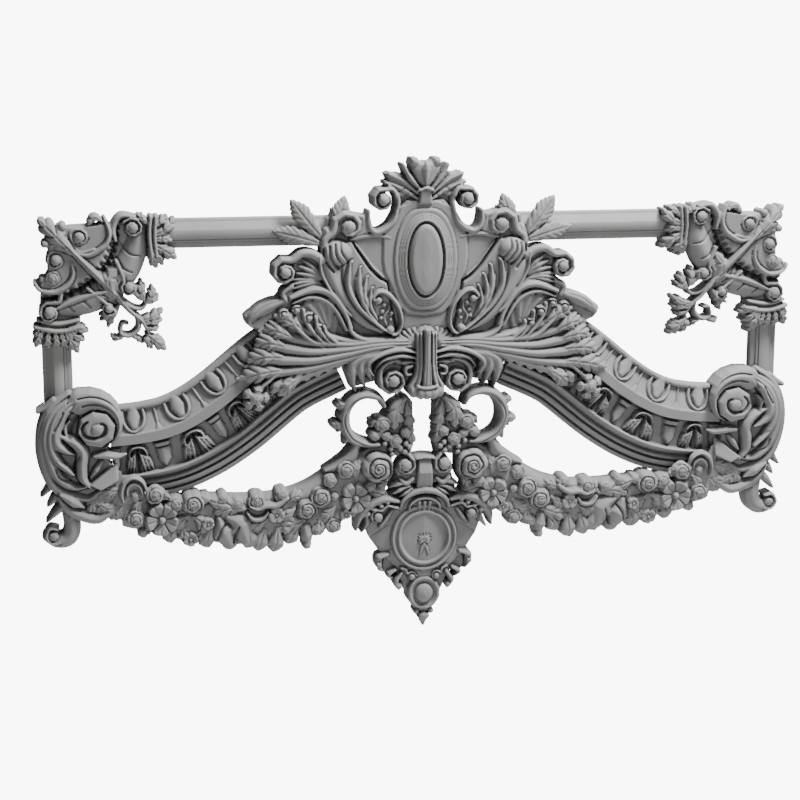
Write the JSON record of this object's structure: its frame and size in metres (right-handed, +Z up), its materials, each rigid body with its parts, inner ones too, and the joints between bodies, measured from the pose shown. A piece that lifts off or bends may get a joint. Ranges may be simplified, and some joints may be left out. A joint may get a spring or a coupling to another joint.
{
  "type": "decorative onlay",
  "caption": "Carved wood onlay for a bed head or overmantel: crowned oval cartouche, S-shaped arms with volutes, corner ornaments, flower swags and a pendant",
  "frame": {"origin": "on the flat back, in the middle of the width, at the foot of the cartouche's clasp, in the plane that rests on the wall or panel", "axes": "+X along the width, to the right as seen from the front; +Y out of the back, into the wall or panel it is fixed to, so the carving faces -Y; +Z up"},
  "size_m": [1.6554, 0.086, 1.0326],
  "materials": {
    "primed_wood": "matte grey primer over carved wood"
  },
  "bodies": {
    "root": {"cartouche": "primed_wood", "pendant": "primed_wood", "top_rail_right": "primed_wood", "top_rail_left": "primed_wood", "post_right": "primed_wood", "post_left": "primed_wood", "arm_right": "primed_wood", "arm_left": "primed_wood", "corner_right": "primed_wood", "corner_left": "primed_wood", "volute_right": "primed_wood", "volute_left": "primed_wood", "swag_right": "primed_wood", "swag_left": "primed_wood"}
  },
  "joints": []
}
